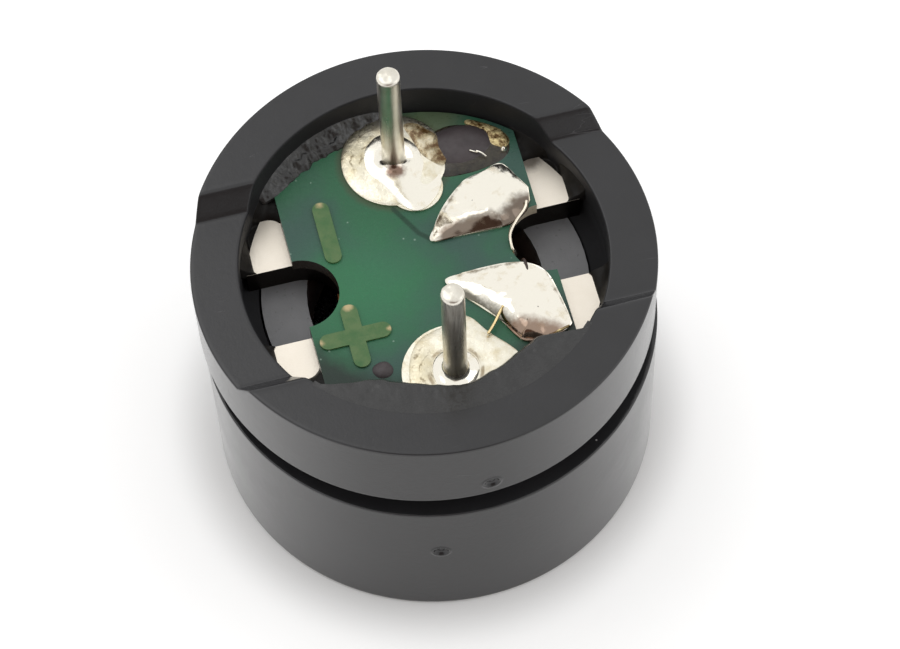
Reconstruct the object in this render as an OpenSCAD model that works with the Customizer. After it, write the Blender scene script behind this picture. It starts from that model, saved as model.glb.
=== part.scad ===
// Magnetic buzzer in a two-piece round case, lying on its sound face with its pins up.
// Origin: centre of the sound face. X runs along the channel between the standoffs, Y through the pins.

/* [Case] */
// Outer diameter of both halves of the case
case_d = 12; // [11.9:0.05:13]
// Height of the sound cover
cover_h = 5.35; // [5:0.05:6.5]
// Height of the open joint line between the cover and the base ring
joint_gap = 0.88; // [0.4:0.02:1.2]
// Height of the base ring up to the floor of its channel
ring_h = 2; // [1.9:0.05:2.6]
// Height of the two standoffs above that floor
standoff_h = 0.6; // [0.3:0.05:0.9]
// Width of the channel's floor between the standoffs
channel_w = 5; // [4:0.1:6]
// Run of the sloped sides of the channel
channel_ramp = 0.45; // [0.2:0.05:0.6]
// Wall of the base ring around its bore
ring_wall = 1.25; // [1.1:0.01:1.3]
// Thickness of the sound face
face_t = 0.8; // [0.5:0.05:1.2]
// Diameter of the sound hole
sound_hole_d = 2.4; // [1.5:0.1:4]
// Bevel on the outer edges of the case
edge_bevel = 0.1; // [0.05:0.01:0.2]
// Distance of the cover from the base ring's axis in the glued joint
cover_shift = 0.08; // [0:0.01:0.1]
// Radial play of the base's spigot in the cover
spigot_clear = 0.12; // [0.11:0.01:0.2]
// Wall of the spigot around the magnet
spigot_wall = 0.7; // [0.6:0.01:0.8]
// Diameter of the round gate mark on each half
gate_d = 0.42; // [0.2:0.02:0.6]
// Depth of the gate marks
gate_depth = 0.06; // [0.03:0.01:0.12]

/* [Drive] */
// Thickness of the steel base plate
plate_t = 0.8; // [0.6:0.05:1]
// Radial play of the base plate in the bore
plate_clear = 0.15; // [0.05:0.01:0.2]
// Width of the ledge that carries the plate
plate_seat_w = 0.25; // [0.2:0.01:0.35]
// Width of the two slots that open the plate at its sides
plate_slot_w = 2.22; // [1.8:0.02:2.6]
// Length of each slot inside the edge of the coil
plate_slot_over = 0.15; // [0.05:0.01:0.25]
// Diameter of the iron core
core_d = 1.8; // [1.4:0.1:2.2]
// Diameter of the core's riveted neck
core_neck_d = 1.3; // [0.8:0.1:1.3]
// Air gap between the core and the diaphragm
air_gap = 0.25; // [0.15:0.05:0.4]
// Radial width of the coil
coil_w = 1.4; // [1:0.05:1.6]
// Radial gap between the coil and the magnet
coil_gap = 0.8; // [0.5:0.05:1]
// Length of the bare end of the core below the coil
core_bare = 0.35; // [0.2:0.05:0.6]
// Radial width of the ring magnet
magnet_w = 1.19; // [0.9:0.01:1.4]
// Height of the ring magnet
magnet_h = 2.2; // [1.6:0.1:2.6]
// Radial play of the magnet in the base
magnet_clear = 0.06; // [0.03:0.01:0.15]
// Distance from the plate down to the diaphragm's seat
drive_h = 3.1; // [3:0.05:3.4]
// Thickness of the diaphragm
diaphragm_t = 0.1; // [0.05:0.01:0.15]
// Width of the ledge that seats the diaphragm
seat_w = 0.3; // [0.2:0.02:0.34]
// Radial play of the diaphragm in its recess
diaphragm_clear = 0.05; // [0.03:0.01:0.08]
// Depth of the recess around the diaphragm
recess_h = 0.5; // [0.45:0.05:0.8]
// Diameter of the weight on the diaphragm
weight_d = 3.2; // [2:0.1:4]
// Thickness of the weight
weight_t = 0.3; // [0.2:0.05:0.35]

/* [Board] */
// Distance of the board's face below the floor of the channel
board_drop = 0.43; // [0.35:0.01:0.6]
// Thickness of the board
board_t = 0.4; // [0.3:0.05:0.6]
// Radial play of the board in the bore
board_clear = 0.05; // [0.03:0.01:0.15]
// Distance from the bore to each straight side of the board
board_side = 1.48; // [1.4:0.02:1.6]
// How far the half-round notch in each straight side reaches in over the coil
notch_over = 0.03; // [0:0.01:0.1]
// Thickness of the copper pads and marks
foil_t = 0.06; // [0.04:0.01:0.1]
// Diameter of the round pad at each pin
pad_d = 2.74; // [2.4:0.02:2.8]
// Least gap between the pads of the pins and other copper
pad_gap = 0.2; // [0.1:0.01:0.3]
// Length of the polarity marks
mark_l = 1.86; // [1.4:0.02:2]
// Width of the polarity marks
mark_w = 0.44; // [0.3:0.02:0.6]

/* [Pins] */
// Distance from the bore to the axis of each pin
pin_inset = 1.5; // [1.45:0.01:1.6]
// Diameter of a pin
pin_d = 0.6; // [0.5:0.02:0.62]
// Diameter at the foot of a pin, which tapers up to the level of the standoffs
pin_root_d = 0.66; // [0.64:0.01:0.72]
// Length of a pin above the standoffs
pin_l = 3.05; // [2:0.05:6]
// Bevel at the tip of a pin
pin_bevel = 0.07; // [0.03:0.01:0.12]
// Length of a pin below the board
pin_tail = 0.3; // [0.1:0.05:0.5]
// Radial play of the pins in the plate
pin_plate_clear = 0.35; // [0.25:0.05:0.45]
// Radial play of the pins in the board
pin_board_clear = 0.05; // [0.02:0.01:0.1]

/* [Joints] */
// Height of the solder on a pin
fillet_h = 0.42; // [0.25:0.01:0.6]
// Diameter of the solder collar around a pin
collar_d = 1.26; // [1:0.02:1.4]
// Height of the spread solder around the collar
spread_h = 0.14; // [0.08:0.01:0.2]
// Height of the solder on a coil pad
dome_h = 0.42; // [0.25:0.01:0.6]
// Thickness of the coil wire
wire_d = 0.12; // [0.06:0.01:0.16]
// Distance of the coil leads from the coil
lead_out = 0.2; // [0.15:0.01:0.3]
// Distance of each coil lead from the middle of the notch
lead_side = 0.35; // [0.25:0.01:0.45]
// Depth at which the leads leave the coil, below the plate
lead_down = 0.5; // [0.3:0.05:0.8]
// Height of the large epoxy drop
drop_h = 0.3; // [0.2:0.01:0.4]
// Width of the potting on the board at the back
potting_back_w = 0.5; // [0.3:0.02:0.6]
// Width of the potting on the board at the front
potting_front_w = 1; // [0.8:0.02:1.1]
// Width of the level top of that potting
potting_front_level = 0.6; // [0.4:0.02:0.7]
// Depth of that top below the standoffs
potting_under = 0.03; // [0.02:0.01:0.2]

/* [Hidden] */
$fn = 96;
eps = 0.01;

// Radii
case_r = case_d / 2;
bore_r = case_r - ring_wall;
plate_r = bore_r - plate_clear;
throat_r = plate_r - plate_seat_w;
// Core, coil, gap and magnet fill the throat, each by its share of their widths
drive_k = (throat_r - magnet_clear) / (core_d / 2 + coil_w + coil_gap + magnet_w);
core_r = drive_k * core_d / 2;
neck_r = drive_k * core_neck_d / 2;
coil_r = core_r + drive_k * coil_w;
magnet_r = throat_r - magnet_clear;
magnet_in_r = magnet_r - drive_k * magnet_w;
slot_r = plate_slot_w / 2;
slot_x = coil_r - plate_slot_over + slot_r;
spigot_r = throat_r + spigot_wall;
socket_r = spigot_r + spigot_clear;
diaphragm_r = throat_r + seat_w;
recess_r = diaphragm_r + diaphragm_clear;
chamber_r = recess_r;
pin_r = pin_d / 2;
root_r = pin_root_d / 2;
pad_r = pad_d / 2;
wire_r = wire_d / 2;
pin_y = bore_r - pin_inset;
board_r = bore_r - board_clear;
board_x = bore_r - board_side;
notch_r = board_x - coil_r + notch_over;

// Heights
ring_z = cover_h + joint_gap;
deck_z = ring_z + ring_h;
top_z = deck_z + standoff_h;
face_z = deck_z - board_drop;
board_z = face_z - board_t;
plate_z = board_z - plate_t;
seat_z = plate_z - drive_h;
spigot_z = seat_z - recess_h;
core_z = seat_z + air_gap;
foil_z = face_z + foil_t;
pin_top = top_z + pin_l;

// Places of the gate marks: turned from X, and up from the underside of each half
gate_ring_turn = -88;
gate_ring_up = 0.58;
gate_cover_turn = -102;
gate_cover_up = 3.24;

// Places on the board, from its centre, in shares of its radius
mark_at = board_r * [-0.468, 0.336];
lobe_at = board_r * [0.074, 0.491];
lobe_r = board_r * 0.153;
wing_pts = board_r * [[0.04, -0.936], [0.298, -0.745], [0.353, -0.664], [0.14, -0.372], [-0.06, -0.45]];
large_drop_at = board_r * [[0.34, 0.7], [0.457, 0.68]];
large_drop_r = board_r * 0.132;
small_drop_at = board_r * [-0.372, -0.585];
small_drop_r = board_r * 0.055;
potting_back_from = 97;
potting_back_to = 133;
potting_back_h = 0.35;
potting_back_level = 0.1;
potting_front_from = 229;
potting_front_to = 311;
potting_front_h = top_z - face_z - potting_under;

// Outlines of the coil pads, with the centre and reach of the solder dome on each
coil_start_pts = board_r * [[0.085, 0.128], [0.468, 0.119], [0.566, 0.149], [0.666, 0.245],
    [0.679, 0.33], [0.606, 0.468], [0.532, 0.517], [0.319, 0.443], [0.166, 0.298]];
coil_start_dome = board_r * [0.426, 0.309, 0.32];
coil_end_pts = board_r * [[0.106, -0.132], [0.153, -0.245], [0.309, -0.44], [0.391, -0.591],
    [0.498, -0.636], [0.683, -0.566], [0.662, -0.351], [0.634, -0.223], [0.56, -0.147],
    [0.328, -0.106], [0.189, -0.106]];
coil_end_dome = board_r * [0.436, -0.34, 0.351];

// Place of the coil leads beside the coil
lead_at = [coil_r + lead_out, lead_side];

// Shallow round mark in the side of a half
module gate_mark(turn, up) {
    rotate([0, 0, turn])
        translate([case_r - gate_depth, 0, up])
            rotate([0, 90, 0])
                cylinder(d = gate_d, h = 2 * gate_depth);
}

// Cup with the sound hole, glued over the spigot of the base
module sound_cover() {
    color("#38383b")
        translate([cover_shift, 0, 0])
            difference() {
                rotate_extrude()
                    polygon([[0, 0], [case_r - edge_bevel, 0], [case_r, edge_bevel],
                        [case_r, cover_h - edge_bevel], [case_r - edge_bevel, cover_h],
                        [socket_r, cover_h], [socket_r, spigot_z], [chamber_r, spigot_z],
                        [chamber_r, face_t], [0, face_t]]);
                translate([0, 0, -eps])
                    cylinder(d = sound_hole_d, h = face_t + 2 * eps);
                gate_mark(gate_cover_turn, gate_cover_up);
            }
}

// Space between the standoffs, wider at the top than at its floor
module channel() {
    over = 1 + eps / standoff_h;
    floor_y = channel_w / 2;
    top_y = floor_y + over * channel_ramp;
    translate([-case_r - eps, 0, deck_z])
        rotate([90, 0, 90])
            linear_extrude(case_d + 2 * eps)
                polygon([[-floor_y, 0], [floor_y, 0], [top_y, over * standoff_h],
                    [-top_y, over * standoff_h]]);
}

// Ring with two standoffs, the seats for plate and diaphragm, and the spigot
module base_housing() {
    color("#3c3c40")
        difference() {
            rotate_extrude()
                polygon([[bore_r, plate_z], [bore_r, top_z], [case_r - edge_bevel, top_z],
                    [case_r, top_z - edge_bevel], [case_r, ring_z + edge_bevel],
                    [case_r - edge_bevel, ring_z], [spigot_r, ring_z], [spigot_r, spigot_z],
                    [recess_r, spigot_z], [recess_r, seat_z], [throat_r, seat_z],
                    [throat_r, plate_z]]);
            channel();
            gate_mark(gate_ring_turn, ring_z + gate_ring_up);
        }
}

// Steel disc that carries core, magnet and board, slotted at both sides
module base_plate() {
    color("#e6ddcf")
        translate([0, 0, plate_z])
            linear_extrude(plate_t)
                difference() {
                    circle(plate_r);
                    for (m = [0, 1])
                        mirror([m, 0])
                            translate([slot_x, 0]) {
                                circle(slot_r);
                                translate([0, -slot_r])
                                    square([plate_r, plate_slot_w]);
                            }
                    for (s = [-1, 1])
                        translate([0, s * pin_y])
                            circle(root_r + pin_plate_clear);
                    circle(neck_r);
                }
}

// Pole piece, riveted into the plate by its neck
module iron_core() {
    color("#8a8d91") {
        translate([0, 0, core_z])
            cylinder(r = core_r, h = plate_z - core_z);
        translate([0, 0, plate_z])
            cylinder(r = neck_r, h = plate_t);
    }
}

// Winding on the core, up against the plate
module coil_winding() {
    color("#a5562c")
        translate([0, 0, core_z + core_bare])
            linear_extrude(plate_z - core_z - core_bare)
                difference() {
                    circle(coil_r);
                    circle(core_r);
                }
}

// Ferrite ring around the coil, held to the plate
module ring_magnet() {
    color("#5c5d60")
        translate([0, 0, plate_z - magnet_h])
            linear_extrude(magnet_h)
                difference() {
                    circle(magnet_r);
                    circle(magnet_in_r);
                }
}

// Spring-steel disc drawn up against its ledge by the magnet
module diaphragm() {
    color("#c9ccd0")
        translate([0, 0, seat_z - diaphragm_t])
            cylinder(r = diaphragm_r, h = diaphragm_t);
}

// Iron disc spot-welded to the sound side of the diaphragm
module diaphragm_weight() {
    color("#9da1a6")
        translate([0, 0, seat_z - diaphragm_t - weight_t])
            cylinder(d = weight_d, h = weight_t);
}

module board_outline() {
    difference() {
        intersection() {
            circle(board_r);
            square([2 * board_x, 2 * board_r], center = true);
        }
        for (m = [0, 1])
            mirror([m, 0])
                translate([board_x, 0])
                    circle(notch_r);
    }
}

module pin_holes() {
    for (s = [-1, 1])
        translate([0, s * pin_y])
            circle(root_r + pin_board_clear);
}

// Round board with two straight, notched sides
module circuit_board() {
    color("#3f7355")
        translate([0, 0, board_z])
            linear_extrude(board_t)
                difference() {
                    board_outline();
                    pin_holes();
                }
}

// Copper on the face of the board, kept inside its outline
module foil() {
    translate([0, 0, face_z])
        linear_extrude(foil_t)
            difference() {
                intersection() {
                    board_outline();
                    union() children();
                }
                pin_holes();
            }
}

module pad_negative() {
    color("#cfc7a8")
        foil() {
            translate([0, pin_y])
                circle(pad_r);
            translate(lobe_at)
                circle(lobe_r);
        }
}

module pad_positive() {
    color("#cfc7a8")
        foil() {
            translate([0, -pin_y])
                circle(pad_r);
            polygon(wing_pts);
        }
}

// Copper beside the pin pads, kept clear of them
module beside_pin_pads() {
    difference() {
        union() children();
        for (s = [-1, 1])
            translate([0, s * pin_y])
                circle(pad_r + pad_gap);
        translate(lobe_at)
            circle(lobe_r + pad_gap);
    }
}

module pad_coil_start() {
    color("#cfc7a8")
        foil()
            beside_pin_pads()
                polygon(coil_start_pts);
}

module pad_coil_end() {
    color("#cfc7a8")
        foil()
            beside_pin_pads()
                polygon(coil_end_pts);
}

module round_bar() {
    square([mark_w, mark_l - mark_w], center = true);
    for (s = [-1, 1])
        translate([0, s * (mark_l - mark_w) / 2])
            circle(d = mark_w);
}

module minus_mark() {
    color("#6f8f5a")
        foil()
            beside_pin_pads()
                translate(mark_at)
                    round_bar();
}

module plus_mark() {
    color("#6f8f5a")
        foil()
            beside_pin_pads()
                translate([mark_at[0], -mark_at[1]]) {
                    round_bar();
                    rotate(90)
                        round_bar();
                }
}

// Round pin through the board, with a tapered root
module pin(side) {
    root_z = board_z - pin_tail;
    translate([0, side * pin_y, 0])
        rotate_extrude()
            polygon([[0, root_z], [root_r, root_z], [pin_r, top_z], [pin_r, pin_top - pin_bevel],
                [pin_r - pin_bevel, pin_top], [0, pin_top]]);
}

module pin_negative() {
    color("#b9b4a2")
        pin(1);
}

module pin_positive() {
    color("#b9b4a2")
        pin(-1);
}

// Collar of solder on a pin, above the solder spread on its pad
module pin_solder(side) {
    spread_r = pad_r - foil_t;
    collar_r = collar_d / 2;
    difference() {
        translate([0, side * pin_y, foil_z])
            rotate_extrude()
                polygon([[0, 0], [spread_r, 0], [spread_r - spread_h, spread_h],
                    [collar_r, spread_h], [collar_r - spread_h, 2 * spread_h], [pin_r, fillet_h],
                    [0, fillet_h]]);
        pin(side);
    }
}

module solder_negative() {
    color("#e8e4d8") {
        pin_solder(1);
        difference() {
            translate([lobe_at[0], lobe_at[1], foil_z])
                cylinder(r = lobe_r - foil_t, h = spread_h);
            translate([0, pin_y, foil_z])
                cylinder(d = collar_d, h = spread_h);
        }
    }
}

module solder_positive() {
    color("#e8e4d8")
        pin_solder(-1);
}

// Domed solder that fills the outline of a coil pad
module coil_solder(pts, dome) {
    dome_r = (dome[2] * dome[2] + dome_h * dome_h) / (2 * dome_h);
    intersection() {
        translate([0, 0, foil_z])
            linear_extrude(dome_h)
                beside_pin_pads()
                    polygon(pts);
        translate([dome[0], dome[1], foil_z + dome_h - dome_r])
            sphere(dome_r);
    }
}

module solder_coil_start() {
    color("#e8e4d8")
        coil_solder(coil_start_pts, coil_start_dome);
}

module solder_coil_end() {
    color("#e8e4d8")
        coil_solder(coil_end_pts, coil_end_dome);
}

// Wire from the coil up through the slot and the notch, then over to its pad
module coil_lead(side) {
    low_z = plate_z - lead_down;
    high_z = foil_z + wire_d;
    translate([lead_at[0], side * lead_at[1], 0]) {
        translate([0, 0, low_z])
            cylinder(r = wire_r, h = high_z - low_z);
        translate([0, 0, low_z]) {
            sphere(wire_r);
            rotate([0, -90, 0])
                cylinder(r = wire_r, h = lead_at[0] - core_r);
        }
        translate([0, 0, high_z]) {
            sphere(wire_r);
            rotate([-90 * side, 0, 0])
                cylinder(r = wire_r, h = notch_r);
        }
    }
}

module coil_envelope() {
    translate([0, 0, core_z])
        cylinder(r = coil_r, h = plate_z - core_z);
}

module coil_lead_start() {
    color("#b5652f")
        difference() {
            coil_lead(1);
            coil_envelope();
            solder_coil_start();
        }
}

module coil_lead_end() {
    color("#b5652f")
        difference() {
            coil_lead(-1);
            coil_envelope();
            solder_coil_end();
        }
}

// Bead of black epoxy between the board's face and the bore, with a level top
module bead(from, to, w, h, level) {
    translate([0, 0, face_z])
        rotate([0, 0, from])
            rotate_extrude(angle = to - from)
                polygon([[bore_r - w, 0], [bore_r, 0], [bore_r, h], [bore_r - level, h]]);
}

module potting_back() {
    color("#2a2a2c")
        difference() {
            bead(potting_back_from, potting_back_to, potting_back_w, potting_back_h,
                potting_back_level);
            pad_negative();
            solder_negative();
        }
}

module potting_front() {
    color("#2a2a2c")
        difference() {
            bead(potting_front_from, potting_front_to, potting_front_w, potting_front_h,
                potting_front_level);
            pad_positive();
            solder_positive();
            solder_coil_end();
            pad_coil_end();
            epoxy_drop_small();
        }
}

// Cap of a sphere that stands on the board's face
module drop(at, r, h) {
    ball_r = (r * r + h * h) / (2 * h);
    intersection() {
        translate([at[0], at[1], face_z])
            cylinder(r = ball_r, h = h);
        translate([at[0], at[1], face_z + h - ball_r])
            sphere(ball_r);
    }
}

module epoxy_drop_large() {
    color("#4a4648")
        difference() {
            for (at = large_drop_at)
                drop(at, large_drop_r, drop_h);
            pad_negative();
            solder_negative();
            pad_coil_start();
            solder_coil_start();
        }
}

module epoxy_drop_small() {
    color("#4a4648")
        difference() {
            drop(small_drop_at, small_drop_r, small_drop_r / 2);
            pad_positive();
            solder_positive();
        }
}

sound_cover();
base_housing();
base_plate();
iron_core();
coil_winding();
ring_magnet();
diaphragm();
diaphragm_weight();
circuit_board();
pad_negative();
pad_positive();
pad_coil_start();
pad_coil_end();
minus_mark();
plus_mark();
pin_negative();
pin_positive();
solder_negative();
solder_positive();
solder_coil_start();
solder_coil_end();
coil_lead_start();
coil_lead_end();
potting_back();
potting_front();
epoxy_drop_large();
epoxy_drop_small();
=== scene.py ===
import math

import bpy
import numpy as np
from mathutils import Matrix, Vector, noise


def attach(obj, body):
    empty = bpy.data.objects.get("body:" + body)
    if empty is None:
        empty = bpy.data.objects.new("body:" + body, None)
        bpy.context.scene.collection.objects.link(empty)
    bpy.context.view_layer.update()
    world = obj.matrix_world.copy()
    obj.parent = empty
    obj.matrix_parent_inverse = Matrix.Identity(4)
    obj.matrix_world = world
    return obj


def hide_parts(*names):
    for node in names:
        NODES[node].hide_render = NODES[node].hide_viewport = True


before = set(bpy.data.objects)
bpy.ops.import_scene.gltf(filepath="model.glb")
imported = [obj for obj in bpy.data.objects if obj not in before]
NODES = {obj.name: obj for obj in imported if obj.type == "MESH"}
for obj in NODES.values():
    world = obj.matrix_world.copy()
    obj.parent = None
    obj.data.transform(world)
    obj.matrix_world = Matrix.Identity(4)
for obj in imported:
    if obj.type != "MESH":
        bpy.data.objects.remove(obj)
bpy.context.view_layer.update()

MM = 0.001

# Heights and radii of the case, in mm, as in the part's source
CASE_R, BORE_R, SPIGOT_R, SOCKET_R = 6.0, 4.75, 5.05, 5.17
THROAT_R, CHAMBER_R = 4.35, 4.7
COVER_H, RING_Z, DECK_Z, TOP_Z = 5.35, 6.23, 8.23, 8.83
FACE_Z, FOIL_Z, PLATE_TOP, PLATE_Z = 7.8, 7.86, 7.4, 6.6
SEAT_Z, SPIGOT_Z, FACE_T, HOLE_R = 3.5, 3.0, 0.8, 1.2
PIN_Y, PIN_R, PIN_TOP = 3.25, 0.3, 11.88
PIN_FOOT_R, PIN_FOOT_Z = 0.33, 7.1
COVER_SHIFT = 0.08
CHANNEL_Y, CHANNEL_RAMP = 2.5, 0.45

# Gate marks on the sides: angle in degrees and height
COVER_GATE = (-102.0, 3.24)
RING_GATE = (-88.0, RING_Z + 0.58)
GATE_R, GATE_REACH = 0.2, 0.34

# Points round the outline of a mound, and how far its skirt goes down
AROUND = 180
SKIRT = 0.05


# Mesh helpers

def noise3(x, y, z, scale=1.0):
    return noise.noise(Vector((x * scale, y * scale, z * scale)))


def make(name, verts, faces, material, slot, replaces=()):
    mesh = bpy.data.meshes.new(name)
    mesh.from_pydata((np.asarray(verts, float) * MM).tolist(), [], faces)
    mesh.polygons.foreach_set("use_smooth", [True] * len(mesh.polygons))
    mesh.update()
    obj = bpy.data.objects.new(name, mesh)
    bpy.context.scene.collection.objects.link(obj)
    mesh.materials.append(material)
    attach(obj, "root")
    if replaces:
        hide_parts(*replaces)
    return obj


def grid(rows, cols, wrap_rows=False, wrap_cols=False):
    """Faces of a grid of points, given row after row."""
    faces = []
    for i in range(rows if wrap_rows else rows - 1):
        for j in range(cols if wrap_cols else cols - 1):
            a, b = i, (i + 1) % rows
            c, d = j, (j + 1) % cols
            faces.append((a * cols + c, a * cols + d, b * cols + d, b * cols + c))
    return faces


def turned(faces):
    """The same faces, seen from the other side."""
    return [f[::-1] for f in faces]


def corner(r, z, edge, a0, a1, n, *extra):
    """Rounded corner of a profile that would be sharp at (r, z), between angles in degrees."""
    mid = math.radians((a0 + a1) / 2)
    cr, cz = r - math.copysign(edge, math.cos(mid)), z - math.copysign(edge, math.sin(mid))
    points = []
    for k in range(n + 1):
        a = math.radians(a0 + (a1 - a0) * k / n)
        points.append((cr + edge * math.cos(a), cz + edge * math.sin(a), *extra))
    return points


def lathe(profile, angles):
    """Closed profile of (r, z), going anticlockwise in the r-z plane, swept over the angles in degrees."""
    verts = []
    for r, z in profile:
        for a in angles:
            t = math.radians(a)
            verts.append((r * math.cos(t), r * math.sin(t), z))
    return verts, turned(grid(len(profile), len(angles), True, True))


def between(a, b, c, d, t):
    """Point of a smooth curve between b and c, with a before and d after them."""
    return 0.5 * (2 * b + (c - a) * t + (2 * a - 5 * b + 4 * c - d) * t * t
                  + (3 * b - a - 3 * c + d) * t ** 3)


def outline(points):
    """Smooth closed curve through the points, evenly spaced and anticlockwise."""
    p = np.asarray(points, float)
    m = len(p)
    curve = []
    for i in range(m):
        for t in np.linspace(0, 1, 24, endpoint=False):
            curve.append(between(p[i - 1], p[i], p[(i + 1) % m], p[(i + 2) % m], t))
    curve = np.array(curve)
    step = np.linalg.norm(np.roll(curve, -1, 0) - curve, axis=1)
    at = np.concatenate([[0], np.cumsum(step)])
    closed = np.vstack([curve, curve[:1]])
    want = np.linspace(0, at[-1], AROUND, endpoint=False)
    edge = np.stack([np.interp(want, at, closed[:, k]) for k in (0, 1)], 1)
    area = 0.5 * np.sum(edge[:, 0] * np.roll(edge[:, 1], -1) - np.roll(edge[:, 0], -1) * edge[:, 1])
    return edge[::-1] if area < 0 else edge


def mound(points, centre, base, height, rings=26):
    """Skin over an outline: height(s, x, y) above base, s from 0 at the centre to 1 at the outline."""
    edge = outline(points)
    c = np.asarray(centre, float)
    verts = [(c[0], c[1], base + height(0.0, c[0], c[1]))]
    for k in range(1, rings + 1):
        s = math.sin(k / rings * math.pi / 2)
        for q in edge:
            x, y = c + (q - c) * s
            verts.append((x, y, base + height(s, x, y)))
    for q in edge:
        verts.append((q[0], q[1], base - SKIRT))
    faces = [(0, 1 + j, 1 + (j + 1) % AROUND) for j in range(AROUND)]
    for k in range(rings):
        for j in range(AROUND):
            a, b = 1 + k * AROUND + j, 1 + k * AROUND + (j + 1) % AROUND
            faces.append((a, a + AROUND, b + AROUND, b))
    return verts, faces


def spline(points, n):
    """Smooth open curve through 3-D points."""
    p = np.asarray(points, float)
    p = np.vstack([2 * p[0] - p[1], p, 2 * p[-1] - p[-2]])
    curve = []
    for i in range(1, len(p) - 2):
        for t in np.linspace(0, 1, n, endpoint=i == len(p) - 3):
            curve.append(between(*p[i - 1:i + 3], t))
    return np.array(curve)


def tube(points, steps, radius):
    """Round wire through points, with so many steps from each to the next."""
    sides = 14
    p = spline(points, steps)
    n = len(p)
    tangent = np.gradient(p, axis=0)
    tangent /= np.linalg.norm(tangent, axis=1)[:, None]
    side = np.cross(tangent[0], (0.31, 0.17, 0.93))
    side /= np.linalg.norm(side)
    verts = []
    for i in range(n):
        side = side - tangent[i] * np.dot(side, tangent[i])
        side /= np.linalg.norm(side)
        other = np.cross(tangent[i], side)
        for k in range(sides):
            a = 2 * math.pi * k / sides
            verts.append(p[i] + radius * (math.cos(a) * side + math.sin(a) * other))
    faces = grid(n, sides, False, True)
    faces.append(tuple(range(sides))[::-1])
    faces.append(tuple(range((n - 1) * sides, n * sides)))
    return verts, faces


# Material helpers

class Shader:
    """A Principled material with short calls for the nodes that feed it."""

    def __init__(self, name, color, roughness, metallic=0.0, **sockets):
        self.material = bpy.data.materials.new(name)
        self.material.use_nodes = True
        self.tree = self.material.node_tree
        self.bsdf = self.tree.nodes["Principled BSDF"]
        self.bsdf.inputs["Base Color"].default_value = (*color, 1)
        self.bsdf.inputs["Roughness"].default_value = roughness
        self.bsdf.inputs["Metallic"].default_value = metallic
        for key, value in sockets.items():
            self.bsdf.inputs[key.replace("_", " ")].default_value = value
        self.where = self.node("ShaderNodeTexCoord").outputs["Object"]

    def node(self, kind, inputs=(), **settings):
        n = self.tree.nodes.new(kind)
        for key, value in settings.items():
            setattr(n, key, value)
        for key, value in dict(inputs).items():
            if isinstance(value, bpy.types.NodeSocket):
                self.tree.links.new(value, n.inputs[key])
            else:
                n.inputs[key].default_value = value
        return n

    def math(self, op, a, b=0.0):
        return self.node("ShaderNodeMath", {0: a, 1: b}, operation=op).outputs[0]

    def vector(self, op, a, b, key=1):
        """Outputs of a vector sum, called Vector and Value."""
        return self.node("ShaderNodeVectorMath", {0: a, key: b}, operation=op).outputs

    def noise(self, size, detail=4.0, rough=0.55, at=None):
        """Noise from 0 to 1 with features about size mm across."""
        n = self.node("ShaderNodeTexNoise", {"Vector": at or self.where, "Scale": 1 / (size * MM),
                                             "Detail": detail, "Roughness": rough})
        return n.outputs["Fac"]

    def stretched(self, factors):
        return self.vector("MULTIPLY", self.where, factors)["Vector"]

    def ramp(self, value, low, high, to_low=0.0, to_high=1.0, smooth=True):
        n = self.node("ShaderNodeMapRange", {"Value": value, "From Min": low, "From Max": high,
                                             "To Min": to_low, "To Max": to_high},
                      interpolation_type="SMOOTHSTEP" if smooth else "LINEAR")
        return n.outputs[0]

    def mix(self, fac, a, b):
        n = self.node("ShaderNodeMix", data_type="RGBA")
        for socket, value in ((n.inputs[0], fac), (n.inputs[6], a), (n.inputs[7], b)):
            if isinstance(value, bpy.types.NodeSocket):
                self.tree.links.new(value, socket)
            else:
                socket.default_value = value if isinstance(value, float) else (*value, 1)
        return n.outputs[2]

    def specks(self, size, core, rim, least, channel=0):
        """Round specks in a few cells of a pattern: those with a channel of their colour over least."""
        cell = self.node("ShaderNodeTexVoronoi", {"Vector": self.where, "Scale": 1 / (size * MM)}).outputs
        chance = self.node("ShaderNodeSeparateColor", {0: cell["Color"]}).outputs[channel]
        return self.math("MULTIPLY", self.ramp(cell["Distance"], core, rim, 1, 0),
                         self.math("GREATER_THAN", chance, least))

    def distance(self, point):
        """Distance in mm, in plan, from a point of the part."""
        plan = self.stretched((1 / MM, 1 / MM, 0))
        return self.vector("DISTANCE", plan, (*point, 0))["Value"]

    def line(self, a, b):
        """Distance in mm, in plan, from the line between two points."""
        start, run = Vector((*a, 0)), Vector((b[0] - a[0], b[1] - a[1], 0))
        v = self.vector("SUBTRACT", self.stretched((1 / MM, 1 / MM, 0)), start)["Vector"]
        along = self.vector("DOT_PRODUCT", v, run / run.length_squared)["Value"]
        foot = self.vector("SCALE", run, self.ramp(along, 0, 1, smooth=False), "Scale")["Vector"]
        return self.vector("DISTANCE", v, foot)["Value"]

    def ragged(self, far, amount, *cloud):
        """A distance with noise of up to amount mm added."""
        return self.math("ADD", far, self.math("MULTIPLY", self.noise(*cloud), amount))

    def up(self):
        """Upward part of the true normal."""
        g = self.node("ShaderNodeNewGeometry").outputs["True Normal"]
        return self.node("ShaderNodeSeparateXYZ", {0: g}).outputs[2]

    def color(self, socket):
        self.tree.links.new(socket, self.bsdf.inputs["Base Color"])

    def rough(self, socket):
        self.tree.links.new(socket, self.bsdf.inputs["Roughness"])

    def bump(self, *layers):
        """Layers of (height socket, depth in mm), stacked."""
        normal = None
        for height, depth in layers:
            n = self.node("ShaderNodeBump", {"Height": height, "Strength": 1.0, "Distance": depth * MM})
            if normal is not None:
                self.tree.links.new(normal, n.inputs["Normal"])
            normal = n.outputs[0]
        self.tree.links.new(normal, self.bsdf.inputs["Normal"])


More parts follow.
